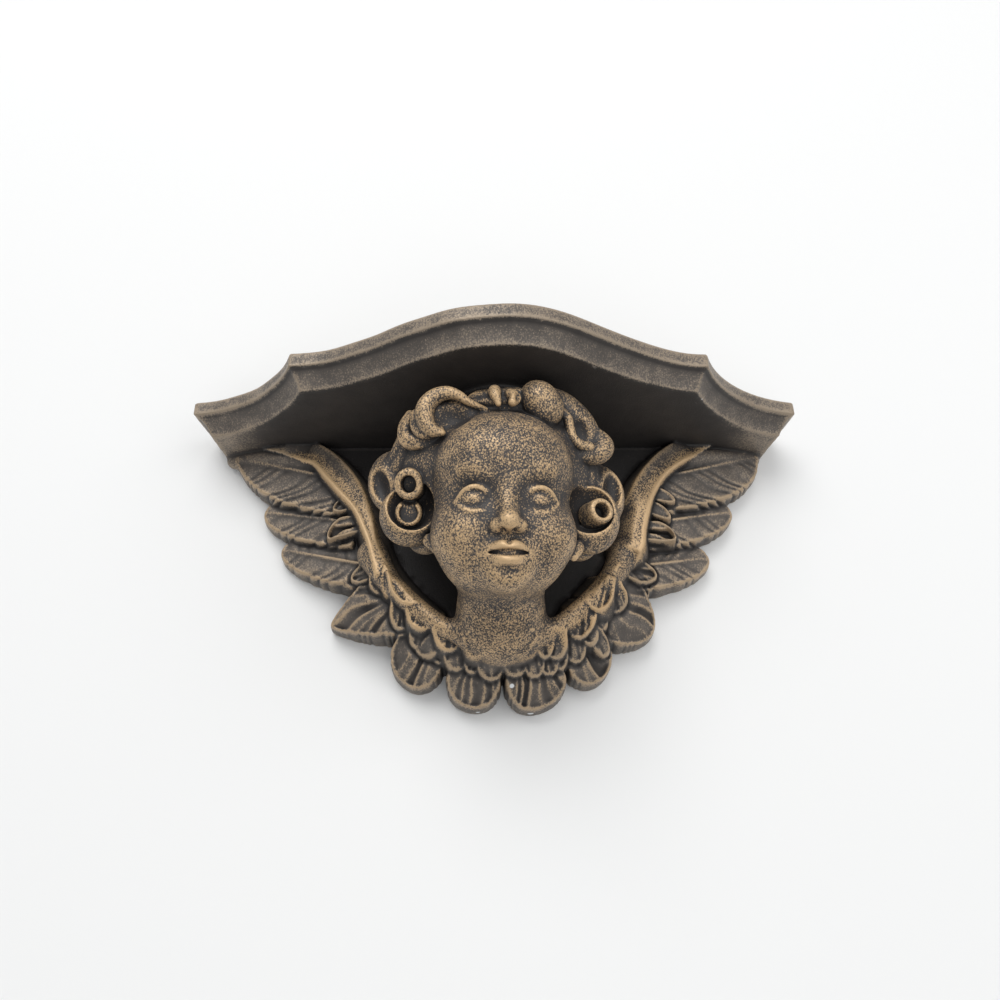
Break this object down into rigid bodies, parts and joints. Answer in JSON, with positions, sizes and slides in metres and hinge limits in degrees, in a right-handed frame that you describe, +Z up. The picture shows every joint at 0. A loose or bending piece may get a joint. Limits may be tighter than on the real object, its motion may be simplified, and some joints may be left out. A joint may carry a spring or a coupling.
{
  "type": "cherub wall shelf",
  "caption": "Small wall shelf with a moulded, wave-fronted board carried by the winged head of a child over a collar of feathers, cast in one piece.",
  "frame": {"origin": "on the flat back, on the centre line, 70 mm below the top of the board", "axes": "+Z up, -Y towards the viewer, +X to the viewer's right; the wall is the plane y = 0"},
  "size_m": [0.25, 0.094, 0.1247],
  "materials": {
    "bronzed_casting": "dark brown with bronze dry-brushed over the raised parts, low sheen"
  },
  "bodies": {
    "root": {"cherub_shelf": "bronzed_casting"}
  },
  "joints": []
}
